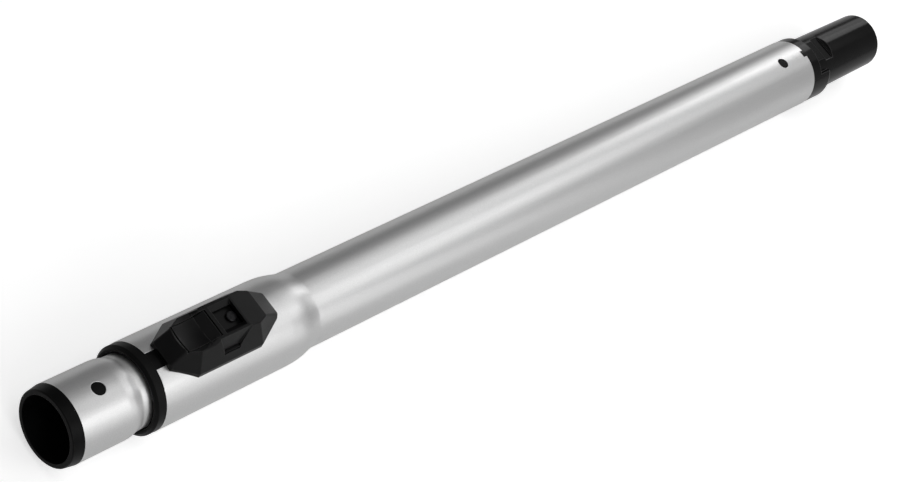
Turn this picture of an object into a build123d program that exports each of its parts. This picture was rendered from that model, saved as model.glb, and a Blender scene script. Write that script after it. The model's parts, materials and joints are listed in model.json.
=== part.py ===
"""Telescopic vacuum wand, pushed together, lying with its latch on top.

X runs along the wand: x = 0 is the mouth that takes the handle, and the spigot for the floor head
points along +X. Z is up and passes through the middle of the latch. All sizes are in millimetres.
"""

import os
from math import cos, radians, sin, sqrt

from build123d import *

# Tubes
tube_od = 42.0            # long part of the outer tube
tube_wall = 0.8
belly_od = 47.64          # widened end of the outer tube, round the guides and under the latch
inner_od = 39.32          # sliding inner tube
inner_wall = 0.7
flare_od = 42.1           # widened mouth of the inner tube
taper_knee = 0.66         # how far along a taper its wall is halfway down
sliding_clearance = 0.06  # radial gap of the sliding fits
seat_clearance = 0.04     # radial gap of parts that are pushed into a tube and stay there
soft_clearance = 0.3      # gap round the felt and rubber rings
loose_gap = 0.2           # round parts that lie in a recess
pressed_gap = 0.01        # radial gap of pins that are pressed in
rooting = 1.0             # how deep an added rib is rooted in its wall, or a cut overshoots

# Stations along the wand, each length counted from the one before
rim_length = 6.4          # plastic rim in front of the inner tube
flare_length = 28.6
flare_taper = 9.0
neck_length = 4.3         # bare neck in front of the collar
collar_length = 6.3
belly_length = 85.4
belly_taper = 21.0
body_length = 437.8
flange_length = 18.7
spigot_length = 59.8
end_gap = 11.8            # between the end bush and the connector, pushed together
stop_gap = 4.0            # between the end bush and the outer tube's taper, pulled out

# Mouth sleeve
socket_bore = 35.0
rim_face_od = 40.2
sleeve_length = 28.0      # length inside the flare
mouth_hole = 7.6
mouth_hole_offset = 16.9  # from the inner tube's front edge
nub_gap = 0.15            # round the nub in the hole
nub_sink = 0.35           # under the tube's surface
rim_bevel = 0.6
sleeve_bevel = 1.0

# Collar and guides
collar_od = 47.2
collar_bevel = 1.6
collar_lead_in = 1.2
slot_width = 10.0
slot_end_gap = 10.6       # from the slot's closed end to the belly's end
tongue_drop = 0.5         # the tongue lies this far under the tube's surface
collar_sleeve = 8.9       # length inside the belly
felt_width = 2.4
felt_depth = 1.5
shell_length = 73.0
shell_gap = 0.5           # between the collar and the guide shells
shell_relief_length = 16.0
shell_relief_depth = 0.8
shell_relief_places = (0.3, 0.7)   # shares of the shells' length

# Groove and notches of the inner tube
groove_width = 7.0
groove_depth = 1.0
pressed_inset = 0.1       # the pressed wall starts this far under the surface
pressed_end = 2.0         # length of the pressed wall past the groove's ends
notch_pitch = 25.0
notch_diameter = 4.8
shoe_length = 10.0        # guide shoe that runs in the groove
shoe_clearance = 0.3
shoe_round = 1.2
shoe_travel_gap = 1.0     # from the shoe to the groove's ends
tenon_width = 5.8
tenon_height = 1.6

# Latch
cover_start = 5.9         # from the belly's front edge
cover_length = 71.6
cover_width = 31.8
cover_wall = 2.0
cover_roof = 2.0
cover_height = 12.2       # over the tube
skirt_height = 1.9        # upright edge over the tube
frame_half_width = 9.7    # half width of the roof
front_rise = 6.5          # length of the sloping front end
front_drop = 2.0          # from the roof to the front end's top
rear_drop = 1.4
frame_offset = 8.5        # from the raised frame's front to the pivot
frame_rise = 3.5          # length of the frame's sloping front
frame_tail = 1.0          # of the frame behind the well
corner_leans = (3.0, -1.5)   # how far the front and rear corner faces lean along the roof
corner_foot_drop = 1.5
corner_top_inset = 1.2
side_skirt_rise = 0.9     # how far the side skirts stand over the end ones
rear_fall = 13.5          # length of the sloping rear end
front_corner = (15.0, 7.9)   # length and width cut off each front corner of the outline
rear_corner = (14.8, 8.2)
corner_round = 1.8        # radius of the sloping corner edges
roof_round = 0.7
cover_room = 1.2          # between the deck and the cover's inside
bed_gap = 0.05            # under the cover, over the tube
well_start = 1.5          # from the pivot
well_length = 13.8
well_half = 5.6           # half width of the well over the pin, at its foot
well_bevel = (2.6, 1.9)   # width and depth of its sloping sides
scoop_radius = 10.0       # rim of the round thumb scoop
scoop_depth = 1.7
scallop_depth = 1.2       # how far the finger scallops are cut into the sides
scallop_flare = (4.0, 6.5)   # how much longer they are at the roof, in front and behind
scallop_rim_inset = 0.2
pin_offset = 41.5         # from the cover's front to the lock pin
lever_arm = 12.0          # from the key's pivot to the lock pin
pivot_drop = 7.5          # from the roof down to the pivot
pivot_diameter = 3.0
key_half = 7.5            # half width of the thumb key
key_gap = 0.4             # beside the thumb key
key_front_gap = 0.9
key_front_inset = 1.6     # behind the sloping front end
key_ramp_offset = 1.7     # from the ramp's top to the pivot
lip_gap = 1.0             # behind the ramp's top
pin_diameter = 4.0
pin_head = 5.8            # diameter of its head and collar
pin_head_thickness = 1.0
pin_head_bevel = 0.4
pin_tip_bevel = 0.5
pin_play = 0.4            # between the pin's head or collar and the key's fork
riding_gap = 0.2          # between the pin's tip and the groove
ear_inner = 6.4           # half the gap between the key's ears
ear_thickness = 2.0
ear_r = 2.6
deck_thickness = 1.4
deck_lift = 0.3           # deck over the belly
base_offset = 2.0         # from the guide shells' front
base_lift = 1.24          # over the inner tube
tee_overlap = 2.2         # under each edge of the slot
rib_clearance = 0.1
guide_boss_height = 1.8
guide_boss_wall = 2.0
tab_offset = 11.0         # from the snap tabs' front to the pin
tab_length = 9.5
tab_height = 1.0
tab_wall = 1.5
tab_window_gap = 0.6      # round the snap tabs
tab_window_drop = 0.3     # under them
deck_corner = 6.8         # chamfer of the deck's corners
key_spring_diameter = 6.0
key_spring_wire = 0.7
key_spring_turns = 3
key_spring_offset = 13.5  # from the pivot
spring_pocket_gap = 0.4
spring_pocket_depth = 0.6
tail_drop = 3.6           # from the roof to the fork's top
tail_thickness = 2.0
tail_overhang = 3.2       # of the fork past the pin
pad_thickness = 1.4
ramp_length = 5.8
ramp_step = 0.9           # at the ramp's foot
ramp_back = 2.3           # height of the ramp's rear face
ramp_heel = 0.6
ramp_wall = 1.5           # between the ramp and its web
web_sink = 1.0            # the web lies this far under the pad
web_overlap = 3.0         # of the web under the pad
web_foot = 3.5            # from the pivot to where the tail starts
fork_slot = 1.4           # length of the fork's slot past its round ends
peg_gap = 0.4             # between the peg and the spring
peg_length = 1.2
peg_root = 0.5
pivot_bevel = 0.3

# End bush and air seal
bush_wall = 1.3
bush_plug_length = 12.0   # length inside the inner tube
bush_head_length = 9.0    # length past its end
lug_diameter = 4.0        # lugs that snap into the inner tube
lug_offset = 6.0          # from the inner tube's end
lug_root = 0.5            # how deep the lugs are rooted
seal_width = 2.6
seal_depth = 0.9

# Connector at the far end
spigot_root_od = 35.4
spigot_tip_od = 34.4
spigot_bore = 28.6
flange_od = 41.6
flange_round = 1.8
cutaway_length = 10.5     # of the flange's cut-away, before its shoulder
cutaway_angles = (-47.0, 80.0)   # its two ends, from the top towards +Y
insert_length = 38.0      # length inside the outer tube
insert_wall = 2.3
insert_bevel = 1.0
bore_taper = (2.0, 10.0)  # ends of the bore's taper, before and past the outer tube's edge
button_hole = 7.2
button_diameter = 6.6
button_shoulder = 1.1     # how far its shoulder stands out
button_sink = 0.2         # under the tube's surface
button_bevel = 0.5
band_width = 8.0          # sprung band that carries the button
band_thickness = 0.5
band_opening = 100.0      # angle that the band leaves open
button_offset = 22.9      # from the outer tube's far edge
edge_notch = (2.8, 4.6)   # length and width of the notch in the tube's edge
window_length = 7.9
window_width = 17.0
window_depth = 2.5
window_bevel = 1.6        # sloping far edge of the window
window_gap = 0.6          # from the shoulder to the window
tip_round = 1.5
round_steps = 3           # flats that make a rounded edge
seal_ring = 1.6           # side of the connector seal's square section
seal_ring_offset = 4.0    # from the insert's front edge
strip_drop = 1.5          # the flat strip lies this far under the spigot's surface

# Radii
tube_r = tube_od / 2
tube_bore_r = tube_r - tube_wall
belly_r = belly_od / 2
belly_bore_r = belly_r - tube_wall
inner_r = inner_od / 2
inner_bore_r = inner_r - inner_wall
flare_r = flare_od / 2
flare_bore_r = flare_r - inner_wall
socket_r = socket_bore / 2
guide_bore_r = inner_r + sliding_clearance
guide_r = belly_bore_r - seat_clearance
insert_r = tube_bore_r - seat_clearance
insert_bore_r = insert_r - insert_wall
spigot_bore_r = spigot_bore / 2

# Stations
flare_x = rim_length + flare_length
neck_x = flare_x + flare_taper
collar_x = neck_x + neck_length
belly_x = collar_x + collar_length
taper_x = belly_x + belly_length
body_x = taper_x + belly_taper
edge_x = body_x + body_length
spigot_x = edge_x + flange_length
tip_x = spigot_x + spigot_length
insert_x = edge_x - insert_length
inner_end_x = insert_x - end_gap - bush_head_length
travel = inner_end_x - body_x - stop_gap   # how far the inner tube pulls out
slot_round_x = taper_x - slot_end_gap - slot_width / 2
shell_x = belly_x + collar_sleeve + shell_gap
cover_x = belly_x + cover_start
cover_end_x = cover_x + cover_length
cover_mid_x = (cover_x + cover_end_x) / 2
pin_x = cover_x + pin_offset
pivot_x = pin_x - lever_arm
button_x = edge_x - button_offset

# Heights
roof_z = belly_r + cover_height
pivot_z = roof_z - pivot_drop
groove_z = inner_r - groove_depth
reach = belly_od + cover_height   # past the wand's section on every side, for cuts


def necked_wall(start_x, start_r, taper_start, taper_end, end_r, end_x, wall):
    """Section of a tube wall that is drawn down from one radius to another in a smooth S."""
    knee_x = taper_start + taper_knee * (taper_end - taper_start)
    for inset in (0, wall):
        knee_r = (start_r + end_r) / 2 - inset
        Line((start_x, start_r - inset), (taper_start, start_r - inset))
        Spline(
            (taper_start, start_r - inset), (knee_x, knee_r), (taper_end, end_r - inset),
            tangents=[(1, 0), (1, 0)],
        )
        Line((taper_end, end_r - inset), (end_x, end_r - inset))
    Line((start_x, start_r), (start_x, start_r - wall))
    Line((end_x, end_r), (end_x, end_r - wall))


def ring(start_x, end_x, bore_r, outer_r):
    """Plain ring round the wand's axis."""
    with BuildPart() as made:
        with BuildSketch(Plane.YZ.offset(start_x)):
            Circle(outer_r)
            Circle(bore_r, mode=Mode.SUBTRACT)
        extrude(amount=end_x - start_x)
    return made.part


def block(x, y, z):
    """Solid box between pairs of limits."""
    made = Box(x[1] - x[0], y[1] - y[0], z[1] - z[0], mode=Mode.PRIVATE)
    return made.moved(Location(((x[0] + x[1]) / 2, (y[0] + y[1]) / 2, (z[0] + z[1]) / 2)))


def rod(centre_x, diameter, low_z, high_z):
    """Upright round bar on the wand's centre line."""
    made = Cylinder(diameter / 2, high_z - low_z, mode=Mode.PRIVATE)
    return made.moved(Location((centre_x, 0, (low_z + high_z) / 2)))


def sector(start_x, end_x, angles):
    """Wedge round the wand's axis between two angles, counted from the top towards +Y."""
    first, second = (radians(angle) for angle in angles)
    corner_a = (reach * sin(first), reach * cos(first))
    corner_b = (reach * sin(second), reach * cos(second))
    with BuildPart() as made:
        with BuildSketch(Plane.YZ.offset(start_x)):
            with BuildLine():
                Polyline((0, 0), corner_a, corner_b, close=True)
            make_face()
        extrude(amount=end_x - start_x)
    return made.part


def save(builder, name):
    builder.part.label = name
    export_step(builder.part, f"parts/{name}.step")


os.makedirs("parts", exist_ok=True)

# Outer tube: thin drawn tube with a slot for the latch, a hole for the button and a keyed edge
with BuildPart() as outer_tube:
    with BuildSketch():
        with BuildLine():
            necked_wall(belly_x, belly_r, taper_x, body_x, tube_r, edge_x, tube_wall)
        make_face()
    revolve(axis=Axis.X)
    with BuildSketch(Plane.XY):
        with Locations((slot_round_x, 0)):
            Circle(slot_width / 2)
        with Locations(((belly_x - rooting + slot_round_x) / 2, 0)):
            Rectangle(slot_round_x - belly_x + rooting, slot_width)
    extrude(amount=reach, mode=Mode.SUBTRACT)
    with BuildSketch(Plane.XY):
        with Locations((button_x, 0)):
            Circle(button_hole / 2)
        with Locations((edge_x, 0)):
            Rectangle(2 * edge_notch[0], edge_notch[1])
    extrude(amount=reach, mode=Mode.SUBTRACT)
save(outer_tube, "outer_tube")

# Collar: bevelled front ring, a sleeve inside the belly and a tongue that fills the slot's mouth
felt_x = collar_x + collar_length / 2
with BuildPart() as collar_ring:
    with BuildSketch():
        with BuildLine():
            Polyline(
                (collar_x, guide_bore_r + collar_lead_in), (collar_x, collar_od / 2 - collar_bevel),
                (collar_x + collar_bevel, collar_od / 2), (belly_x, collar_od / 2), (belly_x, guide_r),
                (belly_x + collar_sleeve, guide_r), (belly_x + collar_sleeve, guide_bore_r),
                (collar_x + collar_lead_in, guide_bore_r), close=True,
            )
        make_face()
    revolve(axis=Axis.X)
    tongue = ring(belly_x, belly_x + collar_sleeve, guide_r - rooting, belly_r - tongue_drop)
    tongue_half = slot_width / 2 - seat_clearance
    add(tongue & block((belly_x, tip_x), (-tongue_half, tongue_half), (0, reach)))
    felt_bore_r = inner_r + soft_clearance
    add(
        ring(felt_x, felt_x + felt_width, guide_bore_r - rooting, felt_bore_r + felt_depth),
        mode=Mode.SUBTRACT,
    )
save(collar_ring, "collar_ring")

with BuildPart() as wiper_ring:
    add(ring(felt_x, felt_x + felt_width, felt_bore_r, felt_bore_r + felt_depth))
save(wiper_ring, "wiper_ring")

# Latch base: a tee through the slot, with the deck, the key's ears and the pin's guide on top
base_x = shell_x + base_offset
base_end_x = slot_round_x
deck_end_x = cover_end_x - rear_fall
base_bottom_z = inner_r + base_lift
tee_half = slot_width / 2 + tee_overlap
rib_half = slot_width / 2 - rib_clearance
deck_z = belly_r + deck_lift
deck_top_z = deck_z + deck_thickness
ear_outer = ear_inner + ear_thickness
guide_top_z = deck_top_z + guide_boss_height
guide_bore = pin_diameter + 2 * sliding_clearance
shoe_half = groove_width / 2 - shoe_clearance
shoe_x = (pin_x - shoe_length / 2, pin_x + shoe_length / 2)
tenon_half = tenon_width / 2
tab_x = (pin_x - tab_offset, pin_x - tab_offset + tab_length)
tab_z = (deck_top_z, deck_top_z + tab_height)
side_skirt_z = sqrt(belly_r**2 - (cover_width / 2) ** 2) + skirt_height + side_skirt_rise


def side_face_y(z):
    """How far out the cover's sloping side stands at a height."""
    share = (roof_z - z) / (roof_z - side_skirt_z)
    return frame_half_width + share * (cover_width / 2 - frame_half_width)


tab_half = side_face_y(tab_z[1]) - rib_clearance
deck_half = side_face_y(deck_top_z) - cover_wall - cover_room
with BuildPart() as latch_base:
    tee = Cylinder(guide_r, base_end_x - base_x, rotation=(0, 90, 0), mode=Mode.PRIVATE)
    tee = tee.moved(Location(((base_x + base_end_x) / 2, 0, 0)))
    add(tee & block((base_x, base_end_x), (-tee_half, tee_half), (base_bottom_z, reach)))
    add(block((base_x, base_end_x), (-rib_half, rib_half), (base_bottom_z, deck_top_z)))
    with BuildSketch(Plane.XY.offset(deck_z)):
        with Locations(((base_x + deck_end_x) / 2, 0)):
            deck = Rectangle(deck_end_x - base_x, 2 * deck_half)
        chamfer(deck.vertices(), deck_corner)
    extrude(amount=deck_thickness)
    for side in (-1, 1):
        tab_root = side * (deck_half - tab_wall)
        add(block(tab_x, sorted((tab_root, side * deck_half)), (deck_z, tab_z[1])))
        add(block(tab_x, sorted((tab_root, side * tab_half)), tab_z))
        with BuildSketch(Plane.XZ.offset(side * ear_inner)):
            with Locations((pivot_x, pivot_z)):
                Circle(ear_r)
            with Locations((pivot_x, (pivot_z + deck_z) / 2)):
                Rectangle(2 * ear_r, pivot_z - deck_z)
        extrude(amount=side * (ear_outer - ear_inner))
    add(rod(pin_x, pin_diameter + 2 * guide_boss_wall, deck_z, guide_top_z))
    add(rod(pin_x, guide_bore, 0, reach), mode=Mode.SUBTRACT)
    with BuildSketch(Plane.XY.offset(base_bottom_z)):
        with Locations((pin_x, 0)):
            Rectangle(2 * tenon_half, 2 * tenon_half)
    extrude(amount=tenon_height + seat_clearance, mode=Mode.SUBTRACT)
    with BuildSketch(Plane.XZ.offset(-reach / 2)):
        with Locations((pivot_x, pivot_z)):
            Circle(pivot_diameter / 2 + pressed_gap)
    extrude(amount=reach, mode=Mode.SUBTRACT)
    # Spring seat: a shallow round pocket under the thumb pad
    key_spring_x = pivot_x - key_spring_offset
    with Locations((key_spring_x, 0, deck_top_z)):
        pocket_r = key_spring_diameter / 2 + spring_pocket_gap
        Cylinder(pocket_r, 2 * spring_pocket_depth, mode=Mode.SUBTRACT)
save(latch_base, "latch_base")
spring_seat_z = deck_top_z - spring_pocket_depth

# Guide shoe: the nose that keeps the inner tube from turning and steers the pin's tip
with BuildPart() as guide_shoe:
    add(block(shoe_x, (-shoe_half, shoe_half), (groove_z + shoe_clearance, base_bottom_z)))
    fillet(guide_shoe.edges().filter_by(Axis.Z), shoe_round)
    tenon = tenon_half - seat_clearance
    tenon_z = (base_bottom_z, base_bottom_z + tenon_height)
    add(block((pin_x - tenon, pin_x + tenon), (-tenon, tenon), tenon_z))
    add(rod(pin_x, guide_bore, 0, reach), mode=Mode.SUBTRACT)
save(guide_shoe, "guide_shoe")

# Guide shells: two half sleeves inside the belly, the upper one relieved for the latch base
shell_end_x = shell_x + shell_length
for name, side in (("guide_shell_upper", 1), ("guide_shell_lower", -1)):
    with BuildPart() as guide_shell:
        add(ring(shell_x, shell_end_x, guide_bore_r, guide_r))
        keep = sorted((0, side * reach))
        add(
            block((shell_x, shell_end_x), (-reach, reach), keep),
            mode=Mode.INTERSECT,
        )
        # Lightening grooves round the outside leave three bearing lands
        for share in shell_relief_places:
            relief_x = shell_x + share * shell_length - shell_relief_length / 2
            relief = ring(relief_x, relief_x + shell_relief_length, guide_r - shell_relief_depth, reach)
            add(relief, mode=Mode.SUBTRACT)
        if side > 0:
            base_relief_half = tee_half + loose_gap
            shoe_relief_half = shoe_half + loose_gap
            add(
                block(
                    (base_x - loose_gap, base_end_x + loose_gap), (-base_relief_half, base_relief_half),
                    (base_bottom_z - seat_clearance, reach),
                ),
                mode=Mode.SUBTRACT,
            )
            add(
                block(
                    (shoe_x[0] - loose_gap, shoe_x[1] + loose_gap), (-shoe_relief_half, shoe_relief_half),
                    (0, reach),
                ),
                mode=Mode.SUBTRACT,
            )
    save(guide_shell, name)


def outward_plane(a, b, c):
    """Plane through three points, facing away from the cover's middle."""
    a, b, c = Vector(*a), Vector(*b), Vector(*c)
    normal = (b - a).cross(c - a).normalized()
    if normal.dot(a - Vector(cover_mid_x, 0, 0)) < 0:
        normal = -normal
    return Plane(origin=a, z_dir=normal)


half_width = cover_width / 2
end_skirt_z = belly_r + skirt_height
front_top = (cover_x + front_rise, roof_z - front_drop)
rear_top = (cover_end_x - rear_fall, roof_z - rear_drop)
frame_start_x = pivot_x - frame_offset
frame_top_x = frame_start_x + frame_rise
well_x = (pivot_x + well_start, pivot_x + well_start + well_length)


def cover_planes():
    """Sloping faces of the cover: two sides, two ends and four corners."""
    faces = []
    for side in (-1, 1):
        faces.append(outward_plane(
            (cover_x, side * half_width, side_skirt_z),
            (cover_end_x, side * half_width, side_skirt_z),
            (cover_x, side * frame_half_width, roof_z),
        ))
        for end, (top_x, top_z), corner, lean in (
            (cover_x, front_top, front_corner, corner_leans[0]),
            (cover_end_x, rear_top, rear_corner, corner_leans[1]),
        ):
            inwards = 1 if end < cover_mid_x else -1
            foot_y = side * (half_width - corner[1])
            faces.append(outward_plane(
                (end, foot_y, end_skirt_z - corner_foot_drop),
                (end + inwards * corner[0], side * half_width, side_skirt_z),
                (top_x + lean, side * (frame_half_width - corner_top_inset), top_z),
            ))
    for end, (top_x, top_z) in ((cover_x, front_top), (cover_end_x, rear_top)):
        faces.append(outward_plane((end, 0, end_skirt_z), (end, 1, end_skirt_z), (top_x, 0, top_z)))
    return faces


def cover_form(inset, roof_inset):
    """The cover's faceted outer form, drawn in by a wall thickness."""
    with BuildPart() as form:
        with BuildSketch():
            with BuildLine():
                for side in (-1, 1):
                    edge = side * (half_width - inset)
                    Polyline(
                        (cover_x + inset, 0),
                        (cover_x + inset, side * (half_width - front_corner[1])),
                        (cover_x + front_corner[0] + inset / 2, edge),
                        (cover_end_x - rear_corner[0] - inset / 2, edge),
                        (cover_end_x - inset, side * (half_width - rear_corner[1])),
                        (cover_end_x - inset, 0),
                    )
            make_face()
        extrude(amount=roof_z - roof_inset)
        for face in cover_planes():
            with BuildSketch(face.offset(-inset)):
                Rectangle(4 * reach, 4 * reach)
            extrude(amount=reach, mode=Mode.SUBTRACT)
        with BuildSketch(Plane.XZ):
            with BuildLine():
                Polyline(
                    (cover_x - rooting, front_top[1] - roof_inset),
                    (frame_start_x, front_top[1] - roof_inset),
                    (frame_top_x, roof_z - roof_inset), (well_x[1] + frame_tail, roof_z - roof_inset),
                    (rear_top[0], rear_top[1] - roof_inset), (cover_end_x, rear_top[1] - roof_inset),
                    (cover_end_x, reach), (cover_x - rooting, reach), close=True,
                )
            make_face()
        extrude(amount=reach, both=True, mode=Mode.SUBTRACT)
    return form.part


# Windows that the base's snap tabs click into, at the foot of the finger scallops
window_x = (tab_x[0] - tab_window_gap, tab_x[1] + tab_window_gap)
window_z = (tab_z[0] - tab_window_drop, tab_z[1] + tab_window_gap)
scallop_foot_y = side_face_y(window_z[1]) - scallop_depth
with BuildPart() as scallop:
    with BuildSketch(Plane.XZ):
        with BuildLine():
            Polyline(
                (window_x[0] - scallop_flare[0], reach), (window_x[0] - scallop_flare[0], roof_z),
                (window_x[0], window_z[1]), (window_x[1], window_z[1]),
                (window_x[1] + scallop_flare[1], roof_z), (window_x[1] + scallop_flare[1], reach),
                close=True,
            )
        make_face()
    extrude(amount=reach)
    scallop_rim_y = -frame_half_width + scallop_rim_inset
    scallop_plane = outward_plane(
        (window_x[0], scallop_rim_y, roof_z), (window_x[1], scallop_rim_y, roof_z),
        (window_x[1], -scallop_foot_y, window_z[1]),
    )
    split(bisect_by=scallop_plane, keep=Keep.TOP)

# Latch cover: a faceted shell with the key's opening, the well over the pin and the windows
key_front_x = cover_x + front_rise + key_front_inset
key_ramp_x = pivot_x - key_ramp_offset
lip_x = key_ramp_x + lip_gap
ramp_foot_x = key_ramp_x - ramp_length
pad_z = front_top[1]

# Thumb scoop: a round hollow that runs across the key's pad and the cover's rim
with BuildPart() as scoop:
    scoop_sphere_r = (scoop_radius**2 + scoop_depth**2) / (2 * scoop_depth)
    with Locations(((key_front_x + ramp_foot_x) / 2, 0, pad_z - scoop_depth + scoop_sphere_r)):
        Sphere(scoop_sphere_r, rotation=(90, 0, 0))
    add(block((0, ramp_foot_x), (-reach, reach), (0, reach)), mode=Mode.INTERSECT)

with BuildPart() as latch_cover:
    add(cover_form(0, 0))
    steepness = 0.3
    corners = latch_cover.edges().filter_by(
        lambda edge: abs(edge.tangent_at(0.5).Z) > steepness and edge.center().Z > side_skirt_z
    )
    fillet(corners, corner_round)
    roof_band_z = front_top[1] - rooting
    upper = latch_cover.edges().filter_by(lambda edge: edge.center().Z > roof_band_z)
    fillet(upper, roof_round)
    add(cover_form(cover_wall, cover_roof), mode=Mode.SUBTRACT)
    tube_bed = Cylinder(belly_r + bed_gap, 2 * cover_length, rotation=(0, 90, 0), mode=Mode.PRIVATE)
    add(tube_bed.moved(Location((cover_mid_x, 0, 0))), mode=Mode.SUBTRACT)
    opening_half = key_half + key_gap
    opening_x = (key_front_x - key_front_gap, lip_x)
    add(
        block(opening_x, (-opening_half, opening_half), (deck_top_z, reach)),
        mode=Mode.SUBTRACT,
    )
    well_rim = well_half + well_bevel[0]
    with BuildSketch(Plane.YZ.offset(well_x[0])):
        with BuildLine():
            Polyline(
                (-well_half, pivot_z), (-well_half, roof_z - well_bevel[1]), (-well_rim, roof_z),
                (-well_rim, reach), (well_rim, reach), (well_rim, roof_z),
                (well_half, roof_z - well_bevel[1]), (well_half, pivot_z), close=True,
            )
        make_face()
    extrude(amount=well_x[1] - well_x[0], mode=Mode.SUBTRACT)
    add(block(window_x, (-reach, reach), window_z), mode=Mode.SUBTRACT)
    add(scallop.part, mode=Mode.SUBTRACT)
    add(scallop.part.mirror(Plane.XZ), mode=Mode.SUBTRACT)
    add(scoop.part, mode=Mode.SUBTRACT)
save(latch_cover, "latch_cover")

# Thumb key: a rocker with a dished pad, a ramp, and a forked tail that lifts the pin
tail_top_z = roof_z - tail_drop
tail_x = pin_x + tail_overhang
web_half = ear_inner - key_gap
pad_bottom_z = pad_z - scoop_depth - pad_thickness
with BuildPart() as thumb_key:
    with BuildSketch(Plane.XZ):
        with BuildLine():
            Polyline(
                (key_front_x, pad_z), (ramp_foot_x, pad_z), (ramp_foot_x, pad_z - ramp_step),
                (key_ramp_x, roof_z), (key_ramp_x, roof_z - ramp_back),
                (ramp_foot_x + ramp_heel, pad_bottom_z), (key_front_x, pad_bottom_z), close=True,
            )
        make_face()
    extrude(amount=key_half, both=True)
    with BuildSketch(Plane.XZ):
        with BuildLine():
            Polyline(
                (ramp_foot_x, pad_z - web_sink), (key_ramp_x, roof_z - ramp_wall),
                (key_ramp_x, roof_z - cover_roof - web_sink), (well_x[0], tail_top_z), (tail_x, tail_top_z),
                (tail_x, tail_top_z - tail_thickness), (pivot_x + web_foot, tail_top_z - tail_thickness),
                (pivot_x + ear_r, pivot_z), (pivot_x, pivot_z - ear_r), (pivot_x - ear_r, pivot_z),
                (ramp_foot_x - web_overlap, pad_bottom_z), (ramp_foot_x - web_overlap, pad_z - web_sink),
                close=True,
            )
        make_face()
    extrude(amount=web_half, both=True)
    with BuildSketch(Plane.XZ.offset(-reach / 2)):
        with Locations((pivot_x, pivot_z)):
            Circle(pivot_diameter / 2 + sliding_clearance)
    extrude(amount=reach, mode=Mode.SUBTRACT)
    with BuildSketch(Plane.XY.offset(pivot_z)):
        with Locations((pin_x, 0)):
            SlotCenterToCenter(fork_slot, pin_diameter + 2 * pin_play)
    extrude(amount=reach, mode=Mode.SUBTRACT)
    # Peg that keeps the spring in place
    peg_diameter = key_spring_diameter - 2 * key_spring_wire - 2 * peg_gap
    add(rod(key_spring_x, peg_diameter, pad_bottom_z - peg_length, pad_bottom_z + peg_root))
    add(scoop.part, mode=Mode.SUBTRACT)
save(thumb_key, "thumb_key")

# Pivot pin across the ears
with BuildPart() as key_pivot_pin:
    with BuildSketch(Plane.XZ.offset(-ear_outer)):
        with Locations((pivot_x, pivot_z)):
            Circle(pivot_diameter / 2)
    extrude(amount=2 * ear_outer)
    chamfer(key_pivot_pin.edges(), pivot_bevel)
save(key_pivot_pin, "key_pivot_pin")

# Lock pin: its tip rides just over the groove, and its head and collar hold the key's fork
pin_tip_z = groove_z + riding_gap
head_z = tail_top_z + pin_play
collar_top_z = tail_top_z - tail_thickness - pin_play
with BuildPart() as lock_pin:
    add(rod(pin_x, pin_diameter, pin_tip_z, head_z + pin_head_thickness))
    chamfer(lock_pin.edges().sort_by(Axis.Z)[0], pin_tip_bevel)
    add(rod(pin_x, pin_head, head_z, head_z + pin_head_thickness))
    add(rod(pin_x, pin_head, collar_top_z - pin_head_thickness, collar_top_z))
    chamfer(lock_pin.edges().sort_by(Axis.Z)[-1], pin_head_bevel)
save(lock_pin, "lock_pin")


def coil(centre, low_z, high_z, mean_r, wire, turns):
    """Compression spring with its ends lying flat against their seats."""
    height = high_z - low_z - wire
    with BuildPart() as made:
        with BuildLine() as path:
            Helix(height / turns, height, mean_r, center=(centre[0], centre[1], low_z + wire / 2))
        with BuildSketch(Plane(path.line @ 0, z_dir=path.line % 0)):
            RegularPolygon(wire / 2, 4)
        sweep()
    return made.part


key_spring_r = (key_spring_diameter - key_spring_wire) / 2
with BuildPart() as key_spring:
    add(coil(
        (key_spring_x, 0), spring_seat_z, pad_bottom_z, key_spring_r, key_spring_wire, key_spring_turns,
    ))
save(key_spring, "key_spring")

# Inner tube: flared mouth, plain hole, and a groove with a row of round notches
groove_x = (shoe_x[0] - shoe_travel_gap, shoe_x[1] + travel + shoe_travel_gap)
with BuildPart() as inner_tube:
    with BuildSketch():
        with BuildLine():
            necked_wall(rim_length, flare_r, flare_x, neck_x, inner_r, inner_end_x, inner_wall)
        make_face()
    revolve(axis=Axis.X)
    # The wall under the groove is pressed inwards
    pressed_length = groove_x[1] - groove_x[0] + 2 * pressed_end
    pressed = Cylinder(inner_r - pressed_inset, pressed_length, rotation=(0, 90, 0), mode=Mode.PRIVATE)
    pressed = pressed.moved(Location(((groove_x[0] + groove_x[1]) / 2, 0, 0)))
    pressed_half = groove_width / 2 + inner_wall
    add(pressed & block((0, tip_x), (-pressed_half, pressed_half), (groove_z - inner_wall, reach)))
    with BuildSketch(Plane.XY.offset(groove_z)):
        with Locations(((groove_x[0] + groove_x[1]) / 2, 0)):
            Rectangle(groove_x[1] - groove_x[0], groove_width)
    extrude(amount=reach, mode=Mode.SUBTRACT)
    notch_count = int(travel // notch_pitch) + 1
    with BuildSketch(Plane.XY):
        for number in range(notch_count):
            with Locations((pin_x + number * notch_pitch, 0)):
                Circle(notch_diameter / 2)
        with Locations((rim_length + mouth_hole_offset, 0)):
            Circle(mouth_hole / 2)
    extrude(amount=reach, mode=Mode.SUBTRACT)
    lug_x = inner_end_x - lug_offset
    with BuildSketch(Plane.XZ.offset(-reach)):
        with Locations((lug_x, 0)):
            Circle(lug_diameter / 2)
    extrude(amount=2 * reach, mode=Mode.SUBTRACT)
save(inner_tube, "inner_tube")

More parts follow.
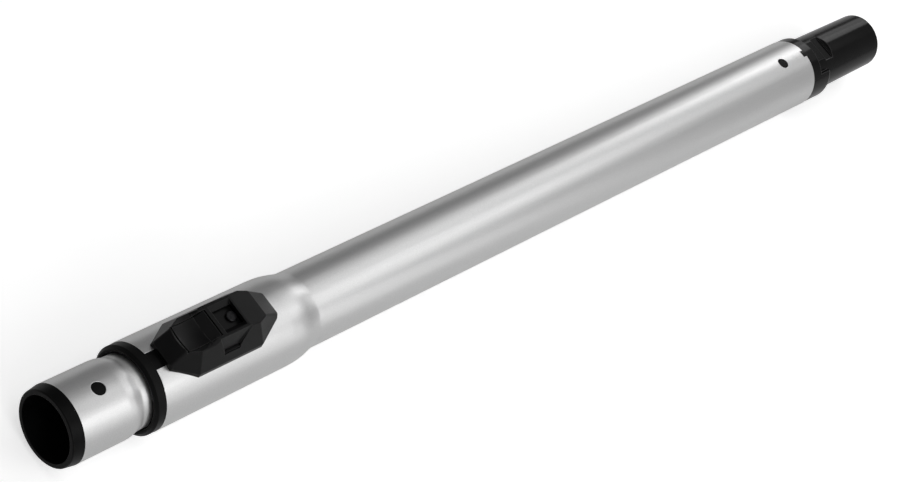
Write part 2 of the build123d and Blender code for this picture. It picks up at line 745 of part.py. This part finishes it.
# Mouth sleeve: socket for the handle, with a bevelled rim and a nub that snaps into the hole
sleeve_r = flare_bore_r - seat_clearance
sleeve_end_x = rim_length + sleeve_length
with BuildPart() as mouth_sleeve:
    with BuildSketch():
        with BuildLine():
            Polyline(
                (0, socket_r), (0, rim_face_od / 2 - rim_bevel), (rim_bevel, rim_face_od / 2),
                (rim_length, flare_r), (rim_length, sleeve_r), (sleeve_end_x - sleeve_bevel, sleeve_r),
                (sleeve_end_x, sleeve_r - sleeve_bevel), (sleeve_end_x, socket_r),
                close=True,
            )
        make_face()
    revolve(axis=Axis.X)
    nub = rod(rim_length + mouth_hole_offset, mouth_hole - 2 * nub_gap, socket_r + nub_gap, flare_r)
    add(nub & ring(0, flare_x, socket_r, flare_r - nub_sink))
save(mouth_sleeve, "mouth_sleeve")

# End bush: plugs into the inner tube's end, runs in the outer tube and carries the air seal
bush_r = tube_bore_r - sliding_clearance
plug_r = inner_bore_r - seat_clearance
with BuildPart() as end_bush:
    add(ring(inner_end_x, inner_end_x + bush_head_length, plug_r - bush_wall, bush_r))
    add(ring(inner_end_x - bush_plug_length, inner_end_x, plug_r - bush_wall, plug_r))
    for side in (-1, 1):
        with BuildSketch(Plane.XZ.offset(side * (plug_r - lug_root))):
            with Locations((lug_x, 0)):
                Circle(lug_diameter / 2 - rib_clearance)
        extrude(amount=side * (lug_root + inner_wall - rib_clearance))
    seal_x = inner_end_x + bush_head_length / 2 - seal_width / 2
    seal_r = tube_bore_r - soft_clearance
    add(ring(seal_x, seal_x + seal_width, seal_r - seal_depth, reach), mode=Mode.SUBTRACT)
save(end_bush, "end_bush")

with BuildPart() as end_seal:
    add(ring(seal_x, seal_x + seal_width, seal_r - seal_depth, seal_r))
save(end_seal, "end_seal")


def rounded_edge(end_x, outer_r, size):
    """Points of a rounded edge, from the outside round to the end face."""
    angles = [radians(90 * step / round_steps) for step in range(round_steps + 1)]
    return [(end_x - size * (1 - sin(turn)), outer_r - size * (1 - cos(turn))) for turn in angles]


# Lower connector: insert in the outer tube, keyed flange and tapered spigot with a catch window
flange_r = flange_od / 2
window_start_x = spigot_x + window_gap
spigot_root_r = spigot_root_od / 2
strip_z = spigot_root_r - strip_drop
with BuildPart() as lower_connector:
    with BuildSketch():
        with BuildLine():
            Polyline(
                (insert_x, insert_bore_r), (insert_x, insert_r - insert_bevel),
                (insert_x + insert_bevel, insert_r), (edge_x, insert_r), (edge_x, flange_r),
                *rounded_edge(spigot_x, flange_r, flange_round), (spigot_x, spigot_root_r),
                *rounded_edge(tip_x, spigot_tip_od / 2, tip_round), (tip_x, spigot_bore_r),
                (edge_x + bore_taper[1], spigot_bore_r), (edge_x - bore_taper[0], insert_bore_r), close=True,
            )
        make_face()
    revolve(axis=Axis.X)
    edge_key_half = edge_notch[1] / 2 - rib_clearance
    edge_key_x = edge_x - edge_notch[0] + rib_clearance
    edge_key = ring(edge_key_x, edge_x + rooting, insert_r - rooting, tube_r - rib_clearance)
    add(edge_key & block((0, tip_x), (-edge_key_half, edge_key_half), (0, reach)))
    # On top the flange is cut away down to the spigot, with a flat strip before the catch window
    cutaway_x = spigot_x - cutaway_length
    cutaway = ring(cutaway_x, spigot_x, spigot_root_r, reach)
    add(cutaway & sector(cutaway_x, spigot_x, cutaway_angles), mode=Mode.SUBTRACT)
    window_y = (-window_width / 2, window_width / 2)
    window_end_x = window_start_x + window_length
    add(block((cutaway_x, window_start_x), window_y, (strip_z, reach)), mode=Mode.SUBTRACT)
    window_floor_z = spigot_root_r - window_depth
    with BuildSketch(Plane.XZ):
        with BuildLine():
            Polyline(
                (window_start_x, window_floor_z), (window_end_x, window_floor_z), (window_end_x, strip_z),
                (window_end_x + window_bevel, spigot_root_r), (window_end_x + window_bevel, reach),
                (window_start_x, reach), close=True,
            )
        make_face()
    extrude(amount=window_width / 2, both=True, mode=Mode.SUBTRACT)
    shoulder = button_diameter + 2 * button_shoulder
    add(rod(button_x, shoulder + 2 * soft_clearance, 0, reach), mode=Mode.SUBTRACT)
    seal_groove_x = insert_x + seal_ring_offset
    seal_groove_end_x = seal_groove_x + seal_ring + loose_gap
    add(ring(seal_groove_x, seal_groove_end_x, insert_r - seal_ring, reach), mode=Mode.SUBTRACT)
save(lower_connector, "lower_connector")

with BuildPart() as connector_seal:
    with BuildSketch(Plane.XY):
        with Locations(((seal_groove_x + seal_groove_end_x) / 2, insert_r - seal_ring / 2)):
            Rectangle(seal_ring, seal_ring - 2 * seat_clearance)
    revolve(axis=Axis.X)
save(connector_seal, "connector_seal")

# Connector button: stands in the tube's hole, its shoulder under the tube's wall
spring_r = insert_bore_r - rib_clearance
button_top_z = tube_r - button_sink
shoulder_top_z = sqrt(tube_bore_r**2 - (shoulder / 2) ** 2) - rib_clearance
with BuildPart() as connector_button:
    add(rod(button_x, button_diameter, spring_r, button_top_z))
    chamfer(connector_button.edges().sort_by(Axis.Z)[-1], button_bevel)
    add(rod(button_x, shoulder, spring_r, shoulder_top_z))
save(connector_button, "connector_button")

# Button spring: a thin sprung band that hugs the bore and carries the button
band_x = (button_x - band_width / 2, button_x + band_width / 2)
with BuildPart() as button_spring:
    add(ring(*band_x, spring_r - band_thickness, spring_r))
    add(sector(*band_x, (180 - band_opening / 2, 180 + band_opening / 2)), mode=Mode.SUBTRACT)
save(button_spring, "button_spring")
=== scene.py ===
"""Looks of the telescopic vacuum wand: materials, two springs, a pale floor, soft light and a camera.

Lengths are in metres, unless a name says otherwise.
"""
import json
import math

import bmesh
import bpy
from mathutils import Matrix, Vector


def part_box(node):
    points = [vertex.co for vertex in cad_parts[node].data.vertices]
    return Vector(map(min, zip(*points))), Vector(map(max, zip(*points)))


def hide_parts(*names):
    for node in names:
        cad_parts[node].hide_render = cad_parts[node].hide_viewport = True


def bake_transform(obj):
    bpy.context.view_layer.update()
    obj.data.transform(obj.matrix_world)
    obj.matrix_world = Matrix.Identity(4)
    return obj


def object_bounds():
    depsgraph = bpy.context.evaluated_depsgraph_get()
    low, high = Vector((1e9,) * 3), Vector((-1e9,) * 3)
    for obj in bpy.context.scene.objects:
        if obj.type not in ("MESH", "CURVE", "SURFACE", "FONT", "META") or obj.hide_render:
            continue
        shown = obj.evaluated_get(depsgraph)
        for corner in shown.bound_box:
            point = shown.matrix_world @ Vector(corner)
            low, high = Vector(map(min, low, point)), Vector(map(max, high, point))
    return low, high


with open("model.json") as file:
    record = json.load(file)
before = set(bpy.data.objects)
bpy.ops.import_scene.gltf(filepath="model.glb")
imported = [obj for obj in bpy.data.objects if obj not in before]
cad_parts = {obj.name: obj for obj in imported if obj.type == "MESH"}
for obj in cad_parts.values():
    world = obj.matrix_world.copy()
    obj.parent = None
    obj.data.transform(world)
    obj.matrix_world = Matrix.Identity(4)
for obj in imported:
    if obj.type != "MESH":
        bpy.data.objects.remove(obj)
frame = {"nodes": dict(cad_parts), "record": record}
cad_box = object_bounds()

WHITE = (1, 1, 1, 1)

# Camera: where the photo was taken from
CAMERA_PLACE = (-0.59821807, -0.31620973, 0.92885998)
CAMERA_TURN_DEG = (38.544024, -25.468034, -41.987830)
CAMERA_LENS_MM = 96.78
CAMERA_NEAREST = 0.01
CAMERA_FARTHEST = 50.0

# Floor: its glow is seen by the camera alone, so it shows white where no shadow falls
FLOOR_HALF = 6.0
FLOOR_GAP = 0.0001
FLOOR_GREY = 0.8
FLOOR_ROUGHNESS = 0.9
FLOOR_GLOW = 0.52

# Square lamps: name, place, side and power in watts, all turned to AIM
AIM = (0.34, 0.0, 0.0)
LAMPS = (
    ("front_left", (-0.30, -1.04, 0.60), 0.6, 3.5),
    ("left_high", (0.60, -0.95, 0.85), 0.7, 2.4),
    ("front_top", (-0.10, -0.20, 1.20), 0.6, 1.7),
    ("left_low", (1.00, -1.20, 0.30), 0.7, 1.0),
    ("far_top", (1.42, 0.42, 0.56), 0.3, 0.65),
    ("near_top", (0.83, -0.28, 0.72), 0.4, 0.6),
    ("far_low", (1.55, 0.60, 0.35), 0.3, 0.37),
    ("mid_top", (1.10, 0.05, 0.68), 0.5, 0.42),
    ("shell_top", (0.80, 0.32, 0.62), 0.4, 0.25),
    ("mouth_top", (0.62, 0.02, 0.76), 0.35, 0.27),
)

# World: a soft sky, brighter towards -Y
SKY_FAR = 0.2
SKY_NEAR = 0.475
SKY_SPREAD = 0.8

# All finishes: the noise levels between which colour and roughness run from one limit to the other
COLOUR_NOISE = (0.35, 0.65)
ROUGHNESS_NOISE = (0.3, 0.7)

# Edges: how round they look, and the cosine between true and rounded normal where the lighter edge colour
# starts and is full: a painted highlight, which at its faint default also stands for wear
EDGE_RADIUS = 0.0004
EDGE_SAMPLES = 6
EDGE_HIGHLIGHT_AND_WEAR_STARTS = 0.998
EDGE_HIGHLIGHT_AND_WEAR_FULL = 0.93
GRAIN_STRENGTH = 0.2

# Tubes: even grain, faint marks drawn along them and a painted highlight along the cut edges
TUBE_GRAIN = 2600.0
TUBE_GRAIN_HEIGHT = 0.00003
TUBE_MARKS = 700.0
TUBE_MARK_STRETCH = (0.02, 1.0, 1.0)
TUBE_GREY = (0.625, 0.695)
# painted highlight colour of the tubes' cut edges
TUBE_EDGE_HIGHLIGHT_GREY = 0.92
TUBE_ROUGHNESS = (0.34, 0.38)

# Black mouldings: cloudy colour, a trace bluer than grey, and the swing of their roughness
CLOUD_SCALE = 90.0
BLUE_SHARE = 1.04
ROUGHNESS_SWING = 0.05

# Turned steel: marks that run round the piece
STEEL_MARKS = 900.0
STEEL_MARK_STRETCH = (1.0, 1.0, 6.0)
STEEL_ROUGHNESS = (0.28, 0.38)

# Undyed guide plastic
GUIDE_CLOUD = 120.0
GUIDE_LOW = (0.50, 0.50, 0.47)
GUIDE_HIGH = (0.60, 0.60, 0.57)
GUIDE_ROUGHNESS = (0.40, 0.50)

# Felt: short fibres that stand up
FELT_FIBRE = 1800.0
FELT_DETAIL = 6.0
FELT_GREY = (0.05, 0.18)
FELT_ROUGHNESS = 0.95
FELT_SHEEN = 0.4
FELT_FIBRE_HEIGHT = 0.0002
FELT_STRENGTH = 0.6

# Colour sockets of the Mix node, which has others of the same names for numbers and vectors
MIX_FIRST = 6
MIX_SECOND = 7
MIX_RESULT = 2

# Key spring, drawn relaxed
KEY_WIRE = 0.0007
KEY_TURNS = 3
TURN_STEPS = 32
WIRE_SIDES = 12

# Button spring, drawn relaxed
BAND_THICKNESS = 0.0005
BAND_OPENING_DEG = 100.0
BAND_STEPS = 72


def add_object(name, data):
    """A new object in the scene."""
    made = bpy.data.objects.new(name, data)
    bpy.context.collection.objects.link(made)
    return made


def grey(level):
    """The grey colour of a level."""
    return (level, level, level)


def new_material(name):
    """A node material, with its tree and its principled shader."""
    made = bpy.data.materials.new(name)
    made.use_nodes = True
    return made, made.node_tree, made.node_tree.nodes["Principled BSDF"]


def noise(tree, scale, detail=2.0, stretch=(1.0, 1.0, 1.0)):
    """Noise in the wand's own frame, so that the grain stays on the piece as it moves."""
    mapping = tree.nodes.new("ShaderNodeMapping")
    mapping.inputs["Scale"].default_value = stretch
    tree.links.new(tree.nodes.new("ShaderNodeTexCoord").outputs["Object"], mapping.inputs["Vector"])
    made = tree.nodes.new("ShaderNodeTexNoise")
    made.inputs["Scale"].default_value = scale
    made.inputs["Detail"].default_value = detail
    tree.links.new(mapping.outputs["Vector"], made.inputs["Vector"])
    return made.outputs["Fac"]


def ramp(tree, source, low, high):
    """A colour that runs between two limits with a noise."""
    made = tree.nodes.new("ShaderNodeValToRGB")
    for element, position, colour in zip(made.color_ramp.elements, COLOUR_NOISE, (low, high)):
        element.position = position
        element.color = (*colour, 1)
    tree.links.new(source, made.inputs["Fac"])
    return made.outputs["Color"]


def vary(tree, source, low, high):
    """A number that runs between two limits with a noise."""
    made = tree.nodes.new("ShaderNodeMapRange")
    made.inputs["From Min"].default_value, made.inputs["From Max"].default_value = ROUGHNESS_NOISE
    made.inputs["To Min"].default_value = low
    made.inputs["To Max"].default_value = high
    tree.links.new(source, made.inputs["Value"])
    return made.outputs["Result"]


def rounded_normal(tree, radius):
    """Normal that runs round the sharp edges of a piece."""
    made = tree.nodes.new("ShaderNodeBevel")
    made.samples = EDGE_SAMPLES
    made.inputs["Radius"].default_value = radius
    return made.outputs["Normal"]


def highlit_and_worn_edges(tree, soft, body, edge_highlight_and_wear_grey):
    """The body's colour, lighter along the edges, where the rounded normal leaves the true one: a painted
    highlight, faint where it also stands for wear.
    """
    turned = tree.nodes.new("ShaderNodeVectorMath")
    turned.operation = "DOT_PRODUCT"
    tree.links.new(soft, turned.inputs[0])
    tree.links.new(tree.nodes.new("ShaderNodeNewGeometry").outputs["Normal"], turned.inputs[1])
    share = tree.nodes.new("ShaderNodeMapRange")
    share.inputs["From Min"].default_value = EDGE_HIGHLIGHT_AND_WEAR_STARTS
    share.inputs["From Max"].default_value = EDGE_HIGHLIGHT_AND_WEAR_FULL
    tree.links.new(turned.outputs["Value"], share.inputs["Value"])
    made = tree.nodes.new("ShaderNodeMix")
    made.data_type = "RGBA"
    tree.links.new(share.outputs["Result"], made.inputs["Factor"])
    tree.links.new(body, made.inputs[MIX_FIRST])
    # the lighter edge colour is a painted highlight, faint at the default level where it also stands for
    # wear
    made.inputs[MIX_SECOND].default_value = (*grey(edge_highlight_and_wear_grey), 1)
    return made.outputs[MIX_RESULT]


def bump(tree, source, shader, height, strength, under=None):
    """Fine relief on the surface, or on a normal that is already rounded."""
    made = tree.nodes.new("ShaderNodeBump")
    made.inputs["Distance"].default_value = height
    made.inputs["Strength"].default_value = strength
    tree.links.new(source, made.inputs["Height"])
    if under is not None:
        tree.links.new(under, made.inputs["Normal"])
    tree.links.new(made.outputs["Normal"], shader.inputs["Normal"])


def satin_metal():
    """Silver tube with a fine even grain that spreads its highlights, faint marks drawn along it and a
    painted highlight along its cut edges.
    """
    made, tree, shader = new_material("satin_silver")
    grain = noise(tree, TUBE_GRAIN)
    marks = noise(tree, TUBE_MARKS, stretch=TUBE_MARK_STRETCH)
    soft = rounded_normal(tree, EDGE_RADIUS)
    body = ramp(tree, grain, *map(grey, TUBE_GREY))
    tree.links.new(highlit_and_worn_edges(tree, soft, body, TUBE_EDGE_HIGHLIGHT_GREY), shader.inputs["Base Color"])
    tree.links.new(vary(tree, marks, *TUBE_ROUGHNESS), shader.inputs["Roughness"])
    shader.inputs["Metallic"].default_value = 1.0
    bump(tree, grain, shader, TUBE_GRAIN_HEIGHT, GRAIN_STRENGTH, under=soft)
    return made


def moulded_black(
    name, low, high, roughness, grain_scale, grain_height,
    # the edge grey is a painted highlight along the edges, faint at this default where it also stands for
    # wear
    edge_radius=EDGE_RADIUS, edge_highlight_and_wear_grey=0.012, shine=0.25,
):
    """Black moulding with a fine moulded grain, soft edges and a lighter colour along them: a faint
    painted highlight that also stands for wear at the default edge grey, a brighter painted highlight
    where that grey is raised.
    """
    made, tree, shader = new_material(name)
    grain = noise(tree, grain_scale)
    cloud = noise(tree, CLOUD_SCALE)
    soft = rounded_normal(tree, edge_radius)
    body = ramp(tree, cloud, (low, low, low * BLUE_SHARE), (high, high, high * BLUE_SHARE))
    rough = vary(tree, grain, roughness - ROUGHNESS_SWING, roughness + ROUGHNESS_SWING)
    tree.links.new(highlit_and_worn_edges(tree, soft, body, edge_highlight_and_wear_grey), shader.inputs["Base Color"])
    tree.links.new(rough, shader.inputs["Roughness"])
    shader.inputs["Specular IOR Level"].default_value = shine
    bump(tree, grain, shader, grain_height, GRAIN_STRENGTH, under=soft)
    return made


def turned_steel(name, low, high):
    """Steel of the pins and springs, with fine marks round them."""
    made, tree, shader = new_material(name)
    marks = noise(tree, STEEL_MARKS, stretch=STEEL_MARK_STRETCH)
    tree.links.new(ramp(tree, marks, low, high), shader.inputs["Base Color"])
    tree.links.new(vary(tree, marks, *STEEL_ROUGHNESS), shader.inputs["Roughness"])
    shader.inputs["Metallic"].default_value = 1.0
    return made


def plain_guide():
    """Undyed slippery plastic of the parts inside."""
    made, tree, shader = new_material("guide_plastic")
    cloud = noise(tree, GUIDE_CLOUD)
    tree.links.new(ramp(tree, cloud, GUIDE_LOW, GUIDE_HIGH), shader.inputs["Base Color"])
    tree.links.new(vary(tree, cloud, *GUIDE_ROUGHNESS), shader.inputs["Roughness"])
    return made


def dense_felt():
    """Grey felt with short fibres."""
    made, tree, shader = new_material("dense_felt")
    fibre = noise(tree, FELT_FIBRE, detail=FELT_DETAIL)
    tree.links.new(ramp(tree, fibre, *map(grey, FELT_GREY)), shader.inputs["Base Color"])
    shader.inputs["Roughness"].default_value = FELT_ROUGHNESS
    shader.inputs["Sheen Weight"].default_value = FELT_SHEEN
    bump(tree, fibre, shader, FELT_FIBRE_HEIGHT, FELT_STRENGTH)
    return made


def finishes():
    """The material of each slot of the record, and of the nodes that differ from their slot."""
    by_slot = {
        "satin_aluminium": satin_metal(),
        "black_plastic": moulded_black(
            "matte_black", low=0.0015, high=0.003, roughness=0.36,
            grain_scale=1500.0, grain_height=0.00005, shine=0.09,
        ),
        "cover_plastic": moulded_black(
            "cover_black", low=0.0015, high=0.003, roughness=0.34,
            # raised edge grey: painted highlight along the cover's edges
            grain_scale=1800.0, grain_height=0.00005, edge_highlight_and_wear_grey=0.03, shine=0.14,
        ),
        "gloss_black": moulded_black(
            "gloss_black", low=0.001, high=0.0018, roughness=0.16,
            # raised edge grey: painted highlight along the gloss black's edges
            grain_scale=1200.0, grain_height=0.00002, edge_radius=0.0006, edge_highlight_and_wear_grey=0.05, shine=0.13,
        ),
        "guide_plastic": plain_guide(),
        "steel": turned_steel("bright_steel", low=(0.45, 0.45, 0.46), high=(0.62, 0.62, 0.63)),
        "felt": dense_felt(),
        "seal_rubber": moulded_black(
            "seal_rubber", low=0.010, high=0.016, roughness=0.62,
            grain_scale=900.0, grain_height=0.00006,
        ),
    }
    by_node = {
        "lock_pin": turned_steel("blackened_steel", low=(0.015, 0.015, 0.016), high=(0.03, 0.03, 0.031)),
    }
    return by_slot, by_node


def dress(by_slot, by_node):
    """Gives every piece of the frame its material."""
    slots = {row["node"]: row["material_slot"] for row in frame["record"]["subparts"]}
    for name, piece in frame["nodes"].items():
        piece.data.materials.clear()
        piece.data.materials.append(by_node.get(name, by_slot[slots[name]]))


def swept(name, rings, steel, smooth):
    """Closed mesh through rings of as many points each, capped at both ends."""
    sides = len(rings[0])
    points = [point for ring in rings for point in ring]
    faces = [tuple(range(sides)), tuple(range(len(points) - sides, len(points)))]
    for first in range(0, len(points) - sides, sides):
        for side in range(sides):
            here = first + side
            beside = first + (side + 1) % sides
            faces.append((here, beside, beside + sides, here + sides))
    mesh = bpy.data.meshes.new(name)
    mesh.from_pydata(points, [], faces)
    shell = bmesh.new()
    shell.from_mesh(mesh)
    bmesh.ops.recalc_face_normals(shell, faces=shell.faces)
    shell.to_mesh(mesh)
    shell.free()
    mesh.polygons.foreach_set("use_smooth", [smooth] * len(mesh.polygons))
    mesh.materials.append(steel)
    piece = add_object(name, mesh)
    return piece


def key_coil(steel):
    """Coil of round wire that stands on the latch base and pushes the key's pad up."""
    low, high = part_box("key_spring")
    middle = (low + high) / 2
    mean_r = (high.y - low.y - KEY_WIRE) / 2
    steps = KEY_TURNS * TURN_STEPS
    climb = (high.z - low.z - KEY_WIRE) / steps
    up = Vector((0, 0, 1))
    angles = [2 * math.pi * side / WIRE_SIDES for side in range(WIRE_SIDES)]
    rings = []
    for step in range(steps + 1):
        turn = 2 * math.pi * step / TURN_STEPS
        out = Vector((math.cos(turn), math.sin(turn), 0))
        centre = Vector((middle.x, middle.y, low.z + KEY_WIRE / 2 + climb * step)) + out * mean_r
        rings.append([centre + (out * math.cos(a) + up * math.sin(a)) * KEY_WIRE / 2 for a in angles])
    coil = swept("key_coil", rings, steel, smooth=True)
    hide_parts("key_spring")
    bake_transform(coil)


def button_band(steel):
    """Sprung band that hugs the bore, open below, and carries the button on its top."""
    low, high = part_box("button_spring")
    outer_r = high.z
    inner_r = outer_r - BAND_THICKNESS
    corners = ((low.x, outer_r), (high.x, outer_r), (high.x, inner_r), (low.x, inner_r))
    reach = math.radians(180 - BAND_OPENING_DEG / 2)
    rings = []
    for step in range(BAND_STEPS + 1):
        turn = reach * (2 * step / BAND_STEPS - 1)
        out = Vector((0, math.sin(turn), math.cos(turn)))
        rings.append([out * radius + Vector((x, 0, 0)) for x, radius in corners])
    band = swept("button_band", rings, steel, smooth=False)
    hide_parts("button_spring")
    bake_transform(band)


def floor_material():
    """Pale floor that the camera sees as white where no shadow falls."""
    made, tree, shader = new_material("pale_floor")
    shader.inputs["Base Color"].default_value = (*grey(FLOOR_GREY), 1)
    shader.inputs["Roughness"].default_value = FLOOR_ROUGHNESS
    shader.inputs["Emission Color"].default_value = WHITE
    path = tree.nodes.new("ShaderNodeLightPath")
    glow = tree.nodes.new("ShaderNodeMath")
    glow.operation = "MULTIPLY"
    glow.inputs[1].default_value = FLOOR_GLOW
    tree.links.new(path.outputs["Is Camera Ray"], glow.inputs[0])
    tree.links.new(glow.outputs["Value"], shader.inputs["Emission Strength"])
    return made


def make_floor():
    """Flat square that the wand lies on."""
    low = cad_box[0].z - FLOOR_GAP
    mesh = bpy.data.meshes.new("floor")
    corners = [(x * FLOOR_HALF, y * FLOOR_HALF, low) for x, y in ((-1, -1), (1, -1), (1, 1), (-1, 1))]
    mesh.from_pydata(corners, [], [(0, 1, 2, 3)])
    mesh.materials.append(floor_material())
    floor = add_object("floor", mesh)


def make_light():
    """Soft square lamps that the camera doesn't see."""
    for name, place, side, watts in LAMPS:
        lamp = bpy.data.lights.new(name, "AREA")
        lamp.size = side
        lamp.energy = watts
        held = add_object(name, lamp)
        held.location = place
        held.visible_camera = False
        held.rotation_euler = (Vector(AIM) - Vector(place)).to_track_quat("-Z", "Y").to_euler()


def make_world():
    """Plain grey sky that rises in level towards the near side."""
    world = bpy.data.worlds.new("soft_world")
    world.use_nodes = True
    nodes = world.node_tree.nodes
    links = world.node_tree.links
    split = nodes.new("ShaderNodeSeparateXYZ")
    links.new(nodes.new("ShaderNodeTexCoord").outputs["Generated"], split.inputs["Vector"])
    level = nodes.new("ShaderNodeMapRange")
    level.inputs["From Min"].default_value = SKY_SPREAD
    level.inputs["From Max"].default_value = -SKY_SPREAD
    level.inputs["To Min"].default_value = SKY_FAR
    level.inputs["To Max"].default_value = SKY_NEAR
    links.new(split.outputs["Y"], level.inputs["Value"])
    links.new(level.outputs["Result"], nodes["Background"].inputs["Strength"])
    nodes["Background"].inputs["Color"].default_value = WHITE
    bpy.context.scene.world = world


def make_camera():
    """Camera at the photo's place and angle."""
    lens = bpy.data.cameras.new("camera")
    lens.lens = CAMERA_LENS_MM
    lens.clip_start = CAMERA_NEAREST
    lens.clip_end = CAMERA_FARTHEST
    held = add_object("camera", lens)
    held.location = CAMERA_PLACE
    held.rotation_euler = [math.radians(turn) for turn in CAMERA_TURN_DEG]
    bpy.context.scene.camera = held


bpy.context.scene.view_settings.view_transform = "Standard"
by_slot, by_node = finishes()
dress(by_slot, by_node)
key_coil(by_slot["steel"])
button_band(by_slot["steel"])
make_floor()
make_light()
make_world()
make_camera()
